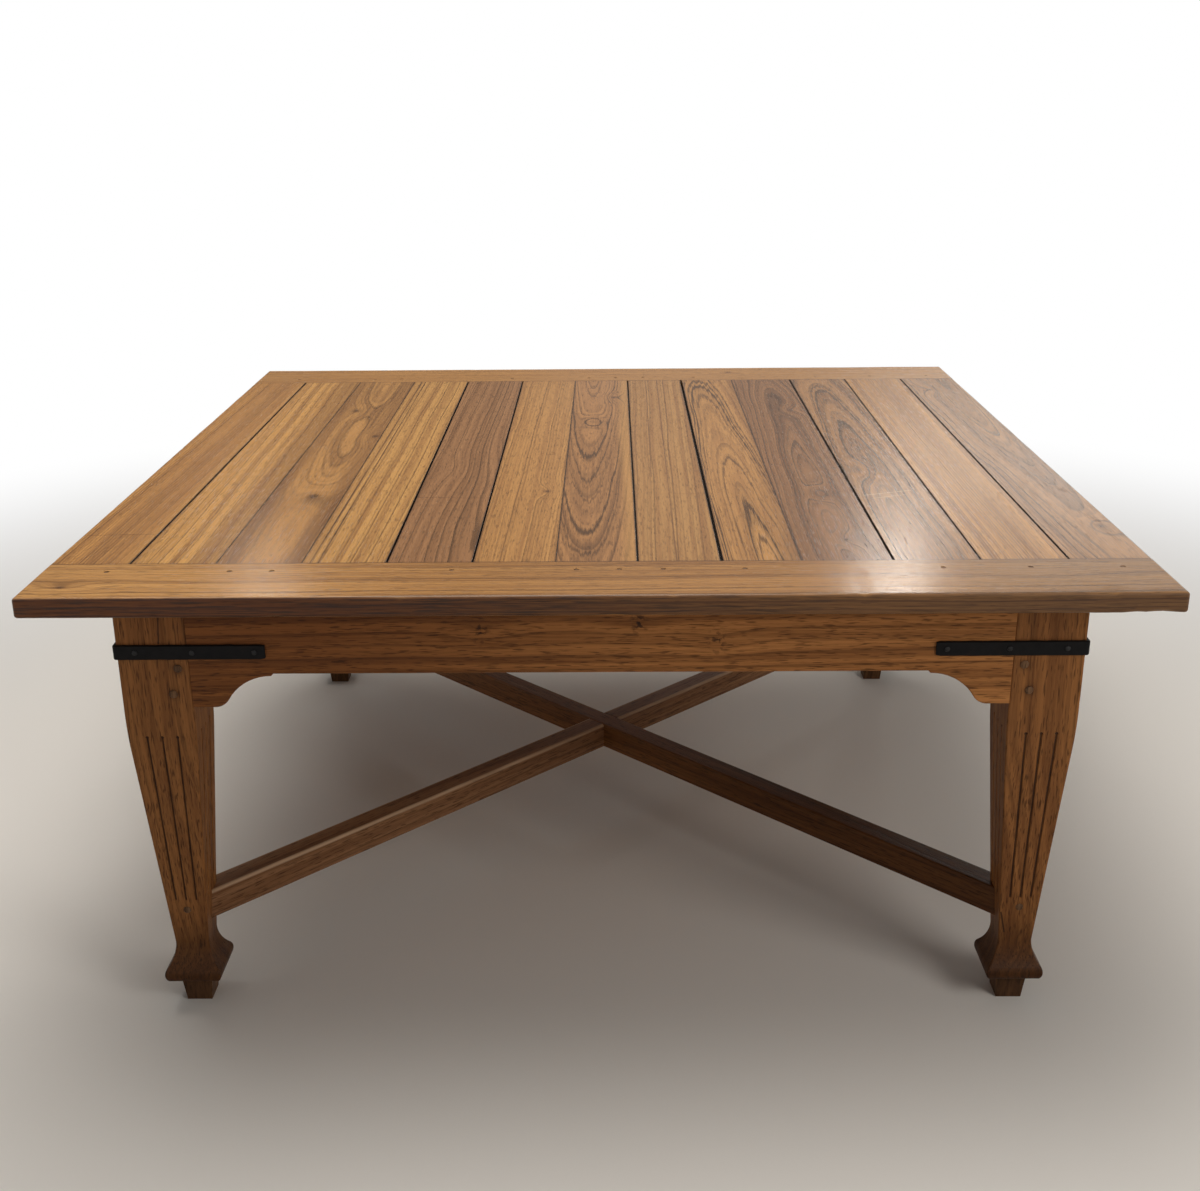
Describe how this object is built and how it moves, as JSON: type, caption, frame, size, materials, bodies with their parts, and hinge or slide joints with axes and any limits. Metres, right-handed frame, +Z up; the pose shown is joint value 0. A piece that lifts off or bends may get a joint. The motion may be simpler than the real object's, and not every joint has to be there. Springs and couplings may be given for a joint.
{
  "type": "extending dining table",
  "caption": "Square plank-topped dining table with breadboard ends, fluted tapering legs, bracketed aprons, crossed stretchers, iron corner straps and sliding draw leaves.",
  "frame": {"origin": "on the floor under the middle of the table top", "axes": "+Z up, +Y from the front edge to the back edge, +X to the right along the draw of the right leaf"},
  "size_m": [1.7, 1.7, 0.78],
  "materials": {
    "teak_top": "satin lacquer",
    "teak_frame": "satin lacquer",
    "teak_leaf": "oiled",
    "teak_pegs": "satin lacquer",
    "wrought_iron": "black waxed",
    "screw_steel": "dull"
  },
  "bodies": {
    "table_frame": {"apron_back": "teak_frame", "apron_front": "teak_frame", "apron_left": "teak_frame", "apron_pegs": "teak_pegs", "apron_right": "teak_frame", "breadboard_back": "teak_top", "breadboard_front": "teak_top", "breadboard_pegs": "teak_pegs", "centre_rail": "teak_frame", "corner_strap_back_left": "wrought_iron", "corner_strap_back_right": "wrought_iron", "corner_strap_front_left": "wrought_iron", "corner_strap_front_right": "wrought_iron", "foot_block_back_left": "teak_frame", "foot_block_back_right": "teak_frame", "foot_block_front_left": "teak_frame", "foot_block_front_right": "teak_frame", "leg_back_left": "teak_frame", "leg_back_right": "teak_frame", "leg_front_left": "teak_frame", "leg_front_right": "teak_frame", "strap_nails": "wrought_iron", "stretcher_over": "teak_frame", "stretcher_pegs": "teak_pegs", "stretcher_under": "teak_frame", "top_board_01": "teak_top", "top_board_02": "teak_top", "top_board_03": "teak_top", "top_board_04": "teak_top", "top_board_05": "teak_top", "top_board_06": "teak_top", "top_board_07": "teak_top", "top_board_08": "teak_top", "top_board_09": "teak_top", "top_board_10": "teak_top", "top_board_11": "teak_top", "top_board_12": "teak_top", "top_board_13": "teak_top", "top_buttons": "teak_frame", "top_screws": "screw_steel"},
    "right_leaf": {"right_leaf_board_1": "teak_leaf", "right_leaf_board_2": "teak_leaf", "right_leaf_board_3": "teak_leaf", "right_leaf_board_4": "teak_leaf", "right_leaf_board_5": "teak_leaf", "right_leaf_screws": "screw_steel", "right_loper_back": "teak_leaf", "right_loper_front": "teak_leaf", "right_loper_stops": "teak_leaf"},
    "left_leaf": {"left_leaf_board_1": "teak_leaf", "left_leaf_board_2": "teak_leaf", "left_leaf_board_3": "teak_leaf", "left_leaf_board_4": "teak_leaf", "left_leaf_board_5": "teak_leaf", "left_leaf_screws": "screw_steel", "left_loper_back": "teak_leaf", "left_loper_front": "teak_leaf", "left_loper_stops": "teak_leaf"}
  },
  "joints": [
    {"name": "right_leaf_slide", "type": "slide", "parent": "table_frame", "child": "right_leaf", "axis": [1, 0, 0], "range_m": [0, 0.56]},
    {"name": "left_leaf_slide", "type": "slide", "parent": "table_frame", "child": "left_leaf", "axis": [-1, 0, 0], "range_m": [0, 0.56]}
  ]
}
